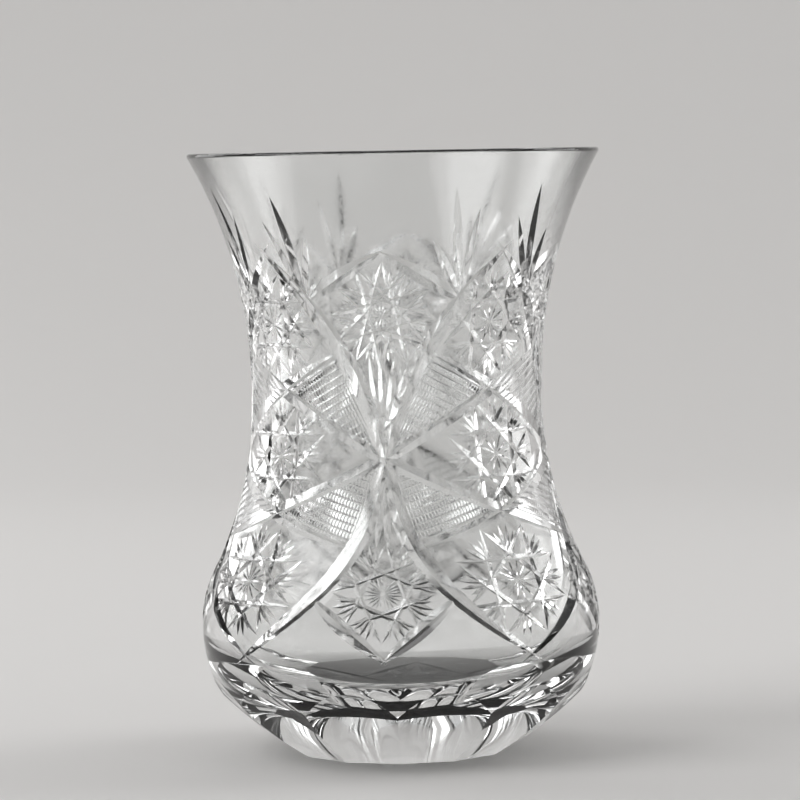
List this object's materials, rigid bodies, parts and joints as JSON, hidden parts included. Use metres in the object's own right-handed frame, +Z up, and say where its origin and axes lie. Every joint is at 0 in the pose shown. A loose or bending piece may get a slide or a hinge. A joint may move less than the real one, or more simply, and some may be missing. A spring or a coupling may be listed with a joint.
{
  "type": "tea glass",
  "caption": "Small waisted tulip-shaped tea glass of clear cut crystal with a flared mouth, round belly, fluted foot and a mitre-cut star pattern; empty.",
  "frame": {"origin": "centre of the flat round foot, on the surface the glass stands on", "axes": "+Z up along the axis of the glass, through the open mouth; -Y towards a crossing of the long cuts"},
  "size_m": [0.0602, 0.0602, 0.088],
  "materials": {
    "crystal": "clear polished crystal, fine cuts slightly frosted"
  },
  "bodies": {
    "root": {"tea_glass": "crystal"}
  },
  "joints": []
}
